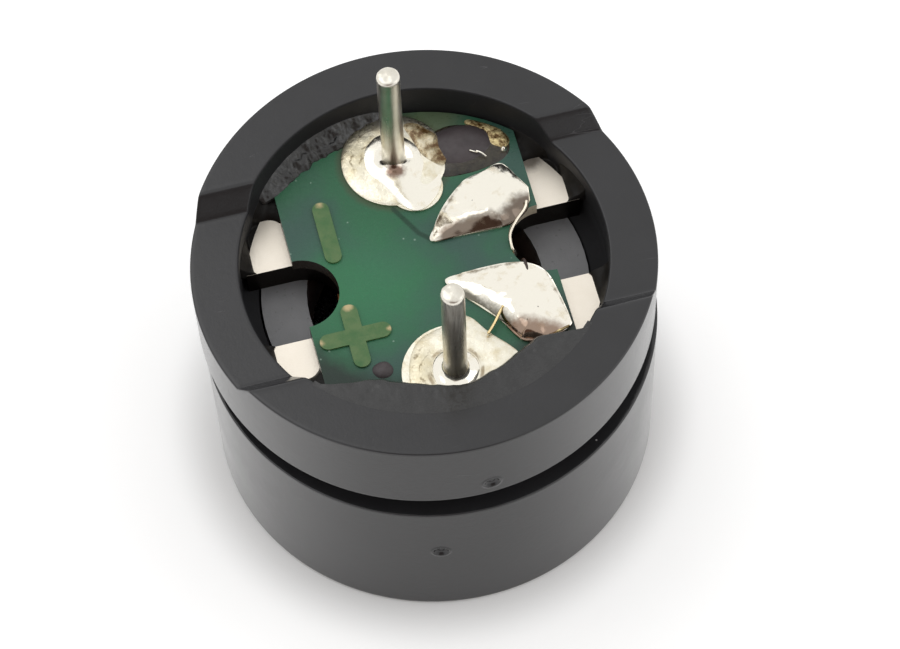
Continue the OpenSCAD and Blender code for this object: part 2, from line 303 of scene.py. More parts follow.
def black_plastic(name, shine=0.5, dulled=0.0):
    """Moulded black plastic, with dulled added to its roughness."""
    s = Shader(name, (0.03, 0.03, 0.033), 0.25, IOR=1.49, Specular_IOR_Level=shine)
    mottle = s.noise(1.6, 5)
    grain = s.noise(0.05, 3)
    fine = s.noise(0.18, 6, 0.65)
    tone = s.mix(mottle, (0.017, 0.017, 0.018), (0.026, 0.026, 0.028))
    # pale specks of dust, few and small
    speck = s.specks(0.55, 0.02, 0.06, 0.965)
    # hair scratches, most of them along the channel
    streak = s.noise(0.9, 2, 0.4, s.stretched((0.25, 3.1, 1.0)))
    off = s.math("ABSOLUTE", s.math("SUBTRACT", streak, 0.5))
    scratch = s.math("MULTIPLY", s.ramp(off, 0.0, 0.004, 1, 0), s.ramp(s.noise(1.1, 2), 0.6, 0.7))
    tone = s.mix(s.math("MULTIPLY", scratch, 0.25), tone, (0.2, 0.2, 0.21))
    s.color(s.mix(s.math("MULTIPLY", speck, 0.7), tone, (0.55, 0.54, 0.52)))
    satin = s.ramp(mottle, 0.3, 0.7, 0.13 + dulled, 0.18 + dulled)
    s.rough(s.math("ADD", satin, s.math("MULTIPLY", fine, 0.07)))
    s.bump((grain, 0.0022), (fine, 0.003), (scratch, -0.002), (speck, 0.01))
    return s.material


def epoxy(name, color, gloss, depth, shine=0.5):
    s = Shader(name, color, gloss, IOR=1.52, Specular_IOR_Level=shine)
    flow = s.noise(0.5, 3)
    fine = s.noise(0.12, 5, 0.6)
    s.color(s.mix(flow, tuple(0.6 * c for c in color), tuple(1.5 * c for c in color)))
    s.rough(s.ramp(fine, 0.3, 0.7, gloss - 0.08, gloss + 0.14))
    s.bump((flow, depth), (fine, depth * 0.35))
    return s.material


def solder_metal(name, brown_lines=(), gloss=0.1):
    """Bright solder, with brown laid along lines given as (start, end, reach, colour): painted reflection
    where it is wide, thin brown lines along the edges.
    """
    tint = (0.92, 0.88, 0.775)
    s = Shader(name, tint, gloss, 1.0)
    blotch = s.noise(0.32, 4)
    skin = s.noise(0.09, 4, 0.6)
    dull = s.ramp(blotch, 0.52, 0.72)
    film_and_reflection = s.mix(s.math("MULTIPLY", dull, 0.35), tint, (0.62, 0.5, 0.28))
    for a, b, reach, tone in brown_lines:
        far = s.ragged(s.line(a, b), 0.3, 0.22, 5, 0.6)
        film_and_reflection = s.mix(s.ramp(far, reach * 0.6, reach + 0.06, 0.9, 0), film_and_reflection, tone)
    # painted shade: dark pinholes in the solder
    hole = s.specks(0.16, 0.05, 0.13, 0.95, 1)
    s.color(s.mix(s.math("MULTIPLY", hole, 0.75), film_and_reflection, (0.1, 0.08, 0.05)))
    bright = s.ramp(skin, 0.3, 0.7, gloss - 0.05, gloss + 0.06)
    s.rough(s.math("ADD", s.math("MULTIPLY", dull, 0.18), bright))
    s.bump((blotch, 0.005), (skin, 0.0015), (hole, -0.01))
    return s.material


def tinned_foil(name, rings=None):
    s = Shader(name, (0.82, 0.77, 0.64), 0.34, 1.0)
    smear = s.noise(0.35, 6, 0.6)
    fine = s.noise(0.06, 4)
    tone = s.mix(s.ramp(smear, 0.4, 0.75), (0.87, 0.83, 0.7), (0.7, 0.62, 0.44))
    if rings:
        # flux drawn out in arcs round the pin, and a brown line at the foot of its collar
        centre, at, reach = rings
        far = s.ragged(s.distance(centre), 0.5, 0.4, 5, 0.6)
        arcs = s.ramp(s.math("SINE", s.math("MULTIPLY", far, 24.0)), 0.5, 1.0)
        broken = s.math("MULTIPLY", arcs, s.ramp(s.noise(0.3, 3), 0.42, 0.58))
        streak = s.math("MULTIPLY", broken, s.ramp(s.distance(at), reach * 0.5, reach, 0.7, 0))
        tone = s.mix(s.ramp(s.distance(at), reach * 0.3, reach * 1.2, 0.55, 0), tone, (0.55, 0.48, 0.3))
        tone = s.mix(streak, tone, (0.2, 0.15, 0.08))
        foot = s.ramp(s.math("ABSOLUTE", s.math("SUBTRACT", s.distance(centre), 0.68)), 0.02, 0.07, 0.7, 0)
        tone = s.mix(s.math("MULTIPLY", foot, s.ramp(s.noise(0.4, 3), 0.4, 0.55)), tone, (0.24, 0.17, 0.09))
    s.color(tone)
    s.rough(s.ramp(fine, 0.3, 0.7, 0.26, 0.46))
    s.bump((smear, 0.02), (fine, 0.0025))
    return s.material


def plated_steel():
    s = Shader("plated_steel", (0.84, 0.79, 0.71), 0.42, 1.0)
    roll = s.noise(0.6, 4, 0.6)
    fine = s.noise(0.04, 3)
    face = s.mix(roll, (0.79, 0.725, 0.62), (0.87, 0.81, 0.715))
    # thin epoxy darkens the outer corners of the back ears
    for at, reach in (((3.5, 2.62), 0.62), ((-4.22, 2.45), 0.5)):
        far = s.ragged(s.distance(at), 0.3, 0.3, 4)
        face = s.mix(s.ramp(far, 0.3, reach, 0.8, 0), face, (0.09, 0.07, 0.055))
    # painted shade: the sheared sides of the plate, seen at the slots, are near black
    s.color(s.mix(s.ramp(s.up(), 0.3, 0.7), (0.03, 0.024, 0.02), face))
    s.rough(s.ramp(fine, 0.3, 0.7, 0.36, 0.52))
    s.bump((roll, 0.002), (fine, 0.0012))
    return s.material


def pin_metal():
    s = Shader("pin_tin", (0.76, 0.73, 0.64), 0.27, 1.0)
    drawn = s.noise(0.09, 4, 0.6, s.stretched((1.0, 1.0, 0.06)))
    blotch = s.noise(0.35, 4)
    fine = s.noise(0.05, 3)
    s.color(s.mix(s.ramp(blotch, 0.35, 0.75), (0.77, 0.74, 0.66), (0.68, 0.64, 0.55)))
    s.rough(s.ramp(drawn, 0.3, 0.7, 0.27, 0.38))
    s.bump((drawn, 0.003), (fine, 0.0003))
    return s.material


def board_mask():
    s = Shader("solder_mask", (0.04, 0.16, 0.085), 0.3, IOR=1.48, Specular_IOR_Level=0.35)
    patch = s.noise(1.9, 3)
    weave = s.noise(0.12, 4, 0.6, s.stretched((1.0, 1.6, 1.0)))
    green = s.mix(s.ramp(patch, 0.34, 0.66), (0.042, 0.1, 0.08), (0.028, 0.138, 0.064))
    # painted light: a broad pool of brighter green on the board beside the left notch
    bright = s.ramp(s.distance((-1.5, -0.25)), 0.2, 2.6, 0.75, 0.0)
    green = s.mix(bright, green, (0.035, 0.21, 0.088))
    green = s.mix(s.math("MULTIPLY", weave, 0.35), green, (0.014, 0.06, 0.035))
    # smoke-brown shade of the epoxy that creeps in from the rim
    creep = s.ragged(s.distance((0.1, 0.85)), 0.5, 0.5, 4)
    green = s.mix(s.ramp(creep, 4.1, 4.8, 0, 0.85), green, (0.014, 0.02, 0.017))
    # the board paler and greyer behind the large drop, and a ring of flux haze round the negative pad
    paler_patch = s.ragged(s.distance((1.35, 4.35)), 0.4, 0.4, 4)
    green = s.mix(s.ramp(paler_patch, 0.5, 1.3, 0.7, 0), green, (0.12, 0.15, 0.08))
    ring = s.math("ABSOLUTE", s.math("SUBTRACT", s.distance((0, PIN_Y)), 1.42))
    ring = s.ragged(ring, 0.15, 0.3, 4)
    green = s.mix(s.ramp(ring, 0.06, 0.26, 0.6, 0), green, (0.065, 0.07, 0.035))
    # gap etched between the negative pad and the copper beside it
    gap = s.math("MINIMUM", s.line((-0.36, 1.84), (0.1, 0.97)), s.line((0.1, 0.97), (0.4, 0.68)))
    green = s.mix(s.ramp(gap, 0.03, 0.1, 0.75, 0), green, (0.008, 0.035, 0.02))
    speck = s.specks(0.32, 0.04, 0.12, 0.8)
    green = s.mix(s.math("MULTIPLY", speck, 0.4), green, (0.45, 0.6, 0.5))
    # the cut edge shows the laminate: pale at the right notch, dark at the left
    right = s.ramp(s.node("ShaderNodeSeparateXYZ", {0: s.where}).outputs[0], 0.0, 0.001)
    edge = s.mix(right, (0.03, 0.022, 0.015), (0.62, 0.55, 0.42))
    s.color(s.mix(s.ramp(s.up(), 0.3, 0.7), edge, green))
    s.rough(s.ramp(weave, 0.3, 0.7, 0.24, 0.42))
    s.bump((patch, 0.01), (weave, 0.003), (speck, 0.006))
    return s.material


def masked_foil(name, tips):
    """Copper under mask: yellow-green, with the mask worn off at the tips, given as (x, y, reach)."""
    s = Shader(name, (0.08, 0.16, 0.05), 0.36, IOR=1.48, Specular_IOR_Level=0.4)
    fine = s.noise(0.1, 4)
    patch = s.noise(0.4, 5, 0.65)
    tone = s.mix(s.ramp(patch, 0.3, 0.7), (0.05, 0.14, 0.042), (0.105, 0.18, 0.066))
    for x, y, reach in tips:
        far = s.ragged(s.distance((x, y)), 0.16, 0.15, 3)
        tone = s.mix(s.ramp(far, reach * 0.55, reach + 0.08, 0.85, 0), tone, (0.6, 0.46, 0.25))
    s.color(tone)
    s.rough(s.ramp(fine, 0.3, 0.7, 0.28, 0.46))
    s.bump((fine, 0.005), (patch, 0.006))
    return s.material


def ferrite():
    s = Shader("ferrite", (0.15, 0.15, 0.155), 0.5, IOR=1.6)
    grain = s.noise(0.1, 5, 0.65)
    cloud = s.noise(0.8, 3)
    pit = s.ramp(s.noise(0.14, 2), 0.66, 0.74)
    tone = s.mix(cloud, (0.14, 0.141, 0.146), (0.215, 0.215, 0.22))
    tone = s.mix(s.math("MULTIPLY", s.ramp(grain, 0.55, 0.75), 0.4), tone, (0.24, 0.24, 0.25))
    # painted shade: the pits darker
    s.color(s.mix(s.math("MULTIPLY", pit, 0.3), tone, (0.05, 0.05, 0.05)))
    s.rough(s.ramp(grain, 0.3, 0.7, 0.42, 0.66))
    s.bump((grain, 0.006), (pit, -0.004))
    return s.material


def plain_metal(name, color, gloss, size):
    s = Shader(name, color, gloss, 1.0)
    cloud = s.noise(size, 5, 0.6)
    fine = s.noise(size * 0.12, 4)
    s.color(s.mix(cloud, tuple(0.75 * c for c in color), tuple(min(1, 1.15 * c) for c in color)))
    s.rough(s.ramp(fine, 0.3, 0.7, gloss - 0.08, gloss + 0.1))
    s.bump((cloud, 0.003), (fine, 0.002))
    return s.material


def coil_enamel():
    """Enamelled copper, wound in turns 0.12 mm apart."""
    s = Shader("coil_enamel", (0.42, 0.17, 0.06), 0.3, 0.85)
    cloud = s.noise(0.4, 4)
    tone = s.mix(cloud, (0.33, 0.125, 0.045), (0.5, 0.21, 0.075))
    scale = 1 / (0.12 * 20 / math.pi * MM)
    wave = s.node("ShaderNodeTexWave", {"Vector": s.where, "Scale": scale, "Distortion": 0.4},
                  bands_direction="Z").outputs["Fac"]
    # painted shade: dark lines in the grooves between the turns
    tone = s.mix(s.ramp(wave, 0.0, 0.35, 0.8, 0.0), tone, (0.06, 0.02, 0.01))
    s.bump((wave, 0.05), (cloud, 0.004))
    s.color(tone)
    s.rough(s.ramp(cloud, 0.3, 0.7, 0.24, 0.38))
    return s.material


def flux_film(name, dark, pale, size, cover, metallic=0.0, depth=0.03):
    """Flux residue: cloudy between two tones, thinner where it is pale; cover is (least, most)."""
    s = Shader(name, pale, 0.12, metallic, IOR=1.5)
    flow = s.noise(size, 5, 0.6)
    thin = s.ramp(flow, 0.36, 0.66)
    s.color(s.mix(thin, dark, pale))
    s.rough(s.ramp(flow, 0.3, 0.7, 0.1, 0.25))
    s.tree.links.new(s.ramp(thin, 0, 1, cover[1], cover[0]), s.bsdf.inputs["Alpha"])
    s.bump((flow, depth))
    return s.material


# Brown on the solder: painted reflection of the brown surroundings where it is wide, on the fronts of the
# joints and in front of the negative pin; thin brown lines along their edges. Start and end of a line, reach,
# colour
BROWN_LINES_START = [
    ((0.9, 0.6), (1.85, 0.58), 0.62, (0.15, 0.105, 0.075)),
    ((2.5, 0.65), (2.98, 1.0), 0.6, (0.1, 0.065, 0.045)),
    ((0.45, 0.9), (1.5, 2.1), 0.17, (0.16, 0.12, 0.07)),
    ((2.75, 2.4), (3.15, 1.6), 0.15, (0.2, 0.14, 0.08)),
]
BROWN_LINES_END = [
    ((0.72, -1.2), (1.55, -2.35), 0.42, (0.1, 0.09, 0.065)),
    ((1.85, -2.7), (2.6, -2.95), 0.68, (0.26, 0.165, 0.115)),
    ((0.7, -0.56), (2.4, -0.58), 0.17, (0.2, 0.16, 0.1)),
    ((2.95, -1.0), (3.18, -2.4), 0.14, (0.2, 0.14, 0.08)),
]
# painted reflection of the pin, in brown on the solder in front of it
PIN_REFLECTION_BROWN = [((-0.14, 2.84), (0.02, 2.8), 0.36, (0.17, 0.085, 0.055))]

PLASTIC = black_plastic("case_plastic")
BORE = black_plastic("bore_plastic", 0.15, 0.3)
POTTING = epoxy("potting_epoxy", (0.022, 0.022, 0.022), 0.24, 0.008)
FILM = epoxy("film_epoxy", (0.01, 0.009, 0.008), 0.4, 0.008, 0.15)
DROP = epoxy("drop_epoxy", (0.048, 0.038, 0.04), 0.5, 0.01)
SOLDER = solder_metal("solder_bright")
SOLDER_START = solder_metal("solder_start", BROWN_LINES_START)
SOLDER_END = solder_metal("solder_end", BROWN_LINES_END)
SOLDER_PIN = solder_metal("solder_pin", PIN_REFLECTION_BROWN, 0.16)
TINNED = tinned_foil("tinned_foil")
SPREAD = tinned_foil("tinned_spread", ((0, PIN_Y), (-1.15, 3.9), 1.1))
SPREAD_PLUS = tinned_foil("tinned_spread_plus", ((0, -PIN_Y), (-0.9, -2.9), 0.75))
STEEL = plated_steel()
PIN = pin_metal()
MASK = board_mask()
FERRITE = ferrite()
IRON = plain_metal("soft_iron", (0.46, 0.46, 0.47), 0.45, 0.5)
SPRING = plain_metal("spring_steel", (0.62, 0.63, 0.65), 0.3, 0.7)
COIL = coil_enamel()
WIRE = epoxy("lead_enamel", (0.03, 0.013, 0.008), 0.35, 0.004)
TAIL = plain_metal("bare_lead", (0.86, 0.68, 0.36), 0.25, 0.2)
TINNED_WIRE = plain_metal("tinned_lead", (0.88, 0.8, 0.66), 0.25, 0.2)
AMBER = flux_film("amber_flux", (0.13, 0.07, 0.018), (0.95, 0.78, 0.4), 0.17, (0.9, 0.95), 0.5, 0.05)
SMOKE = flux_film("smoked_flux", (0.014, 0.011, 0.008), (0.06, 0.05, 0.034), 0.35, (0.85, 0.97))
BROWN = flux_film("brown_flux", (0.12, 0.06, 0.018), (0.85, 0.7, 0.4), 0.3, (0.25, 0.9), 0.4, 0.02)
MINUS_FOIL = masked_foil("minus_foil", [(-2.2, 2.45, 0.16)])
PLUS_FOIL = masked_foil("plus_foil", [(-2.2, -0.7, 0.2), (-3.1, -1.58, 0.12), (-1.3, -1.58, 0.12)])


# Case

def gate(angle, z, turn, up):
    """Depth of a round gate mark at a point of the side: a dish with a torn rim and a nub in the middle."""
    d = math.hypot(math.radians(angle - turn) * CASE_R, z - up)
    if d > GATE_REACH:
        return 0.0
    dish = 0.085 * max(0.0, 1 - (d / GATE_R) ** 4)
    rim = 0.018 * math.exp(-((d - 0.23) / 0.035) ** 2)
    nub = 0.05 * math.exp(-(d / 0.07) ** 2)
    return dish - rim - nub


def side_rows(low, high, mark):
    """Heights of the rows of a side wall, close together at the gate mark."""
    below = np.linspace(low, mark - 0.36, 4)
    across = np.linspace(mark - 0.33, mark + 0.33, 31)
    above = np.linspace(mark + 0.36, high, 4)
    return [z for z in (*below, *across, *above) if low <= z <= high]


def cover():
    turn, mark = COVER_GATE
    wall = [(CASE_R, z) for z in side_rows(0.16, COVER_H - 0.11, mark)]
    profile = [
        (HOLE_R, 0.08), *corner(HOLE_R, 0.0, 0.06, 180, 270, 4)[1:], (HOLE_R + 0.1, 0.0),
        (CASE_R - 0.2, 0.0), *corner(CASE_R, 0.0, 0.12, -90, 0, 6), *wall,
        *corner(CASE_R, COVER_H, 0.04, 0, 90, 4), (CASE_R - 0.1, COVER_H),
        (SOCKET_R + 0.09, COVER_H), *corner(SOCKET_R, COVER_H, 0.05, 90, 180, 4), (SOCKET_R, COVER_H - 0.1),
        (SOCKET_R, SPIGOT_Z), (CHAMBER_R, SPIGOT_Z), (CHAMBER_R, FACE_T), (HOLE_R + 0.1, FACE_T),
        *corner(HOLE_R, FACE_T, 0.06, 90, 180, 4), (HOLE_R, FACE_T - 0.1),
    ]
    even = np.linspace(-180, 180, 288, endpoint=False)
    at_gate = np.linspace(turn - 3.3, turn + 3.3, 45)
    angles = sorted({*np.round(even, 4), *np.round(at_gate, 4)})
    verts, faces = lathe(profile, angles)
    shell = []
    for i, (x, y, z) in enumerate(verts):
        a, r = angles[i % len(angles)], math.hypot(x, y)
        if r > CASE_R - 0.001:
            k = 1 - gate(a, z, turn, mark) / r
            x, y = x * k, y * k
        # the lip is a little uneven
        if z > COVER_H - 0.06 and r > CASE_R - 0.2:
            z += 0.016 * noise3(x, y, 6.0, 3.0) * min(1.0, (z - COVER_H + 0.06) / 0.05)
        shell.append((x + COVER_SHIFT, y, z))
    make("cover_shell", shell, faces, PLASTIC, "case", ["sound_cover"])


# Slope from the channel's floor to a standoff: distance past the floor's side, height above the floor
STEP = [(-0.1, 0.0), (-0.045, 0.003), (0.0, 0.014), (0.045, 0.06), (0.1, 0.134), (0.18, 0.24),
        (0.27, 0.36), (0.35, 0.466), (0.395, 0.523), (0.43, 0.56), (0.475, 0.588), (0.55, 0.6)]


def quarter_columns():
    """Columns of a quarter of the ring, as functions of r that give (angle, rise)."""
    columns = []
    for f in np.linspace(0, 1, 22, endpoint=False):
        columns.append(lambda r, f=f: (f * math.asin((CHANNEL_Y + STEP[0][0]) / r), 0.0))
    for dy, rise in STEP:
        columns.append(lambda r, dy=dy, rise=rise: (math.asin((CHANNEL_Y + dy) / r), rise))
    last, top = STEP[-1]
    for f in (*np.linspace(0, 0.86, 34)[1:], *np.linspace(0.865, 1, 36)):
        columns.append(lambda r, f=f: ((1 - f) * math.asin((CHANNEL_Y + last) / r) + f * math.pi / 2, top))
    return columns


def ring():
    turn, mark = RING_GATE
    wall = [(CASE_R, z, 0) for z in side_rows(RING_Z + 0.12, DECK_Z - 0.3, mark)]
    # (r, height, how far the height follows the rise of the standoffs)
    profile = [
        (THROAT_R, PLATE_Z, 0), (THROAT_R, SEAT_Z, 0), (CHAMBER_R, SEAT_Z, 0), (CHAMBER_R, SPIGOT_Z, 0),
        (SPIGOT_R - 0.08, SPIGOT_Z, 0), (SPIGOT_R, SPIGOT_Z + 0.08, 0), (SPIGOT_R, RING_Z - 0.08, 0),
        *corner(SPIGOT_R, RING_Z, 0.06, 180, 90, 4, 0), (SPIGOT_R + 0.1, RING_Z, 0),
        (CASE_R - 0.14, RING_Z, 0), *corner(CASE_R, RING_Z, 0.08, -90, 0, 5, 0), *wall,
        (CASE_R, DECK_Z - 0.2, 1), (CASE_R, DECK_Z - 0.12, 1), *corner(CASE_R, DECK_Z, 0.05, 0, 90, 5, 1),
        (CASE_R - 0.12, DECK_Z, 1), (CASE_R - 0.4, DECK_Z, 1), (BORE_R + 0.4, DECK_Z, 1),
        (BORE_R + 0.09, DECK_Z, 1), *corner(BORE_R, DECK_Z, 0.05, 90, 180, 5, 1), (BORE_R, DECK_Z - 0.09, 1),
        (BORE_R, DECK_Z - 0.4, 0), (BORE_R, PLATE_TOP, 0), (BORE_R, PLATE_Z, 0),
    ]
    quarter = quarter_columns()
    columns = []
    for sx, sy in ((1, 1), (-1, 1), (-1, -1), (1, -1)):
        # the end columns on the axes are shared by two quarters
        for place in (quarter if sx * sy > 0 else quarter[::-1])[:-1]:
            columns.append((sx, sy, place))
    verts = []
    for r, z, follow in profile:
        for sx, sy, place in columns:
            a, rise = place(r)
            x, y, h = sx * r * math.cos(a), sy * r * math.sin(a), z + follow * rise
            if r > CASE_R - 0.001:
                k = 1 - gate(math.degrees(math.atan2(y, x)), h, turn, mark) / r
                x, y = x * k, y * k
            verts.append((x, y, h))
    faces = turned(grid(len(profile), len(columns), True, True))
    obj = make("base_ring", verts, faces, PLASTIC, "case", ["base_housing"])
    # the bore is dulled by a smear of epoxy
    obj.data.materials.append(BORE)
    for face in obj.data.polygons:
        if math.hypot(face.center.x, face.center.y) < (BORE_R + 0.03) * MM:
            face.material_index = 1


# Potting

def rim_height(y):
    return DECK_Z + (TOP_Z - DECK_Z) * min(1.0, max(0.0, (abs(y) - CHANNEL_Y) / CHANNEL_RAMP))


def potting_front():
    """Fill between the board and the front standoff: a slope up to a brow, then level with the rim."""
    a0, a1, rows, cols = 221.0, 317.0, 44, 260
    brow = 0.55
    verts = []
    for i in range(rows + 1):
        u = max(i - 1, 0) / (rows - 1)
        foot = min(u / brow, 1.0)
        for j in range(cols):
            deg = a0 + (a1 - a0) * j / (cols - 1)
            t = math.radians(deg)
            wave = noise3(math.cos(t) * 5.0, math.sin(t) * 5.0, 2.0) * 0.07
            wave += noise3(math.cos(t) * 17, math.sin(t) * 17, 5.0) * 0.025
            bulge = 0.17 * math.exp(-((deg - 271) / 10) ** 2)
            # both ends draw back to the wall and down to the plate
            end = min(1.0, max(0.0, (241 - deg) / 18, (deg - 303) / 11))
            level = min(4.09 + wave + bulge + 0.64 * end ** 1.5, BORE_R - 0.03)
            inner = level - 0.4 * (1 - 0.85 * end)
            base = FACE_Z * (1 - end) + (PLATE_TOP + 0.1) * end
            if u < brow:
                r = inner + (level - inner) * foot
            else:
                r = level + (BORE_R + 0.1 - level) * (u - brow) / (1 - brow)
            x, y = r * math.cos(t), r * math.sin(t)
            top = rim_height(y) + 0.002
            crumb = noise3(x, y, 1.0, 2.2) * 0.012 + noise3(x, y, 3.0, 8.0) * 0.004
            z = base + (top - base) * (1 - (1 - foot) ** 2.4) + crumb * math.sin(math.pi * u) ** 2
            verts.append((x, y, z if i else base - 0.5))
    faces = turned(grid(rows + 1, cols))
    make("potting_front_fill", verts, faces, POTTING, "epoxy", ["potting_front"])


def potting_back():
    """Crumbly bead between the board and the wall of the bore."""
    a0, a1, rows, cols = 88.0, 141.0, 22, 220
    verts = []
    for i in range(rows + 1):
        u = max(i - 1, 0) / (rows - 1)
        for j in range(cols):
            f = j / (cols - 1)
            t = math.radians(a0 + (a1 - a0) * f)
            ends = math.sin(math.pi * f) ** 0.35
            wave = noise3(math.cos(t) * 8, math.sin(t) * 8, 7.0) * 0.14
            wave += noise3(math.cos(t) * 26, math.sin(t) * 26, 1.0) * 0.06
            inner = BORE_R - (0.5 + wave) * ends
            r = inner + (BORE_R + 0.02 - inner) * u
            x, y = r * math.cos(t), r * math.sin(t)
            crumb = noise3(x, y, 0.5, 5.0) * 0.07 + noise3(x, y, 9.0, 12.0) * 0.025
            rise = 0.05 * min(1.0, u * 6) + 0.33 * u ** 1.2 + crumb * math.sin(math.pi * u) ** 0.6
            verts.append((x, y, FACE_Z + rise * max(ends, 0.05) if i else FACE_Z - 0.1))
    faces = turned(grid(rows + 1, cols))
    make("potting_back_bead", verts, faces, POTTING, "epoxy", ["potting_back"])


def ear_film(name, sx, sy, window):
    """Skin of black epoxy on the plate at one corner, which leaves a rounded window of bare steel."""
    x0, x1, y0, y1, far = window
    mid_x, mid_y = (x0 + x1) / 2, (y0 + y1) / 2
    wall_r = BORE_R + 0.02
    xs, ys = np.linspace(3.2, 4.78, 84), np.linspace(1.12, 3.5, 114)
    verts = []
    for k, row in enumerate((ys[0], *ys)):
        radius = far if row > mid_y else 0.17
        for x in xs:
            y = row
            qx = abs(x - mid_x) - (x1 - x0) / 2 + radius
            qy = abs(y - mid_y) - (y1 - y0) / 2 + radius
            d = math.hypot(max(qx, 0), max(qy, 0)) + min(max(qx, qy), 0) - radius
            d += noise3(x * sx, y * sy, 4.0, 2.0) * 0.02
            reach = math.hypot(x, y)
            if reach > wall_r:
                x, y = x * wall_r / reach, y * wall_r / reach
            if d > 0:
                wall = min(1.0, max(0.0, 1 - (BORE_R - reach) / 0.22))
                lift = 0.24 * (1 - math.exp(-d / 0.16)) + 0.012 + 0.18 * wall ** 2
                lift += 0.02 * noise3(x * sx, y * sy, 8.0, 5.0)
            else:
                lift = max(-0.06, d * 1.2)
            verts.append((sx * x, sy * y, PLATE_TOP + lift if k else PLATE_TOP - 0.1))
    faces = grid(len(ys) + 1, len(xs))
    make(name, verts, turned(faces) if sx * sy < 0 else faces, FILM, "epoxy")


# Board

def dome(height, flat):
    """Height of a flat-topped dome, a little uneven."""
    def fn(s, x, y):
        h = height * (1 - s ** flat) ** 0.85 + 0.012 * noise3(x, y, 2.0, 3.2) * (1 - s ** 4)
        return max(h, 0.0)
    return fn


def edge_distance(points, x, y):
    """Distance from an open line through points."""
    p = np.asarray(points, float)
    run = p[1:] - p[:-1]
    v = np.array((x, y)) - p[:-1]
    along = np.clip((v * run).sum(1) / (run * run).sum(1), 0, 1)
    return np.linalg.norm(v - run * along[:, None], axis=1).min()


def ridge(front, back, steep):
    """Height of a solder joint that rises steeply from its front edge and falls gently to its back edge."""
    height, gentle = 0.33, 1.4

    def fn(s, x, y):
        near = min(1.0, edge_distance(front, x, y) / (steep * (1 + 0.5 * noise3(x, y, 4.0, 1.9))))
        far = min(1.0, edge_distance(back, x, y) / gentle)
        ripple = 0.014 * noise3(x, y, 2.0, 2.6) + 0.006 * noise3(x, y, 7.0, 6.0)
        return 0.03 + height * (1 - (1 - near) ** 2) * far ** 0.9 + ripple * (1 - s ** 4)
    return fn


# Outlines in plan, each joint of a coil lead as a front edge and a back edge with the same ends
START_FRONT = [(0.36, 0.61), (1.3, 0.6), (2.26, 0.57), (2.66, 0.68), (3.0, 0.92), (3.12, 1.25)]
START_BACK = [(0.36, 0.61), (0.52, 1.0), (0.78, 1.4), (1.09, 1.74), (1.49, 2.08), (1.7, 2.2), (2.2, 2.32),
              (2.5, 2.43), (2.7, 2.41), (2.85, 2.2), (2.99, 1.9), (3.16, 1.55), (3.12, 1.25)]
END_FRONT = [(0.39, -0.63), (0.72, -1.15), (1.12, -1.57), (1.46, -2.07), (1.85, -2.78), (2.34, -2.97),
             (2.8, -2.88), (3.12, -2.75), (3.2, -2.55)]
END_BACK = [(0.39, -0.63), (0.89, -0.53), (1.54, -0.5), (2.14, -0.54), (2.63, -0.7), (2.97, -1.05),
            (3.11, -1.65), (3.2, -2.55)]
NEGATIVE = [(-0.85, 3.3), (-0.7, 3.82), (-0.36, 4.14), (0.05, 4.22), (0.5, 4.08), (0.82, 3.65), (0.88, 3.25),
            (0.95, 2.98), (1.05, 2.72), (1.07, 2.42), (0.98, 2.15), (0.8, 1.9), (0.5, 1.66), (0.2, 1.6),
            (-0.05, 1.78), (-0.3, 2.14), (-0.5, 2.5), (-0.74, 2.86)]
PAD_ROUND = [(1.38 * math.cos(math.radians(a)), 3.28 + 1.37 * math.sin(math.radians(a)))
             for a in range(0, 360, 20)]
WING = [(-1.19, -3.25), (-1.01, -2.57), (-0.65, -2.12), (0.0, -1.9), (0.66, -1.76), (1.1, -2.36),
        (1.66, -3.1), (1.45, -3.42), (1.0, -3.72), (0.3, -4.1), (-0.5, -4.1), (-1.0, -3.8)]
DROP_LARGE = [(0.9, 3.3), (1.1, 3.75), (1.8, 3.92), (2.5, 3.72), (2.76, 3.3), (2.5, 2.85), (1.8, 2.62),
              (1.15, 2.8)]
DROP_SMALL = [(-1.5, -2.7), (-1.6, -2.5), (-1.78, -2.46), (-1.98, -2.55), (-2.02, -2.72), (-1.9, -2.9),
              (-1.7, -2.94), (-1.55, -2.86)]
FLUX_DARK = [(0.75, 3.2), (0.85, 2.7), (1.2, 2.45), (1.7, 2.4), (2.3, 2.45), (2.8, 2.6), (3.05, 2.9),
             (3.0, 3.3), (2.6, 3.6), (1.8, 3.95), (1.1, 3.8)]
FLUX_AMBER = [(2.5, 3.2), (2.65, 2.95), (2.95, 2.9), (3.1, 3.15), (2.95, 3.5), (2.6, 3.8), (2.2, 4.02),
              (2.1, 3.9), (2.45, 3.6)]
FLUX_PIN = [(0.5, 4.2), (0.8, 4.2), (1.05, 3.95), (1.25, 3.7), (1.38, 3.3), (1.36, 2.98), (1.22, 2.76),
            (1.02, 2.86), (0.84, 3.05), (0.7, 3.3), (0.6, 3.7)]
BALL = [(2.86 + 0.09 * math.cos(t), 2.84 + 0.08 * math.sin(t)) for t in np.linspace(0, 6.28, 9)[:-1]]

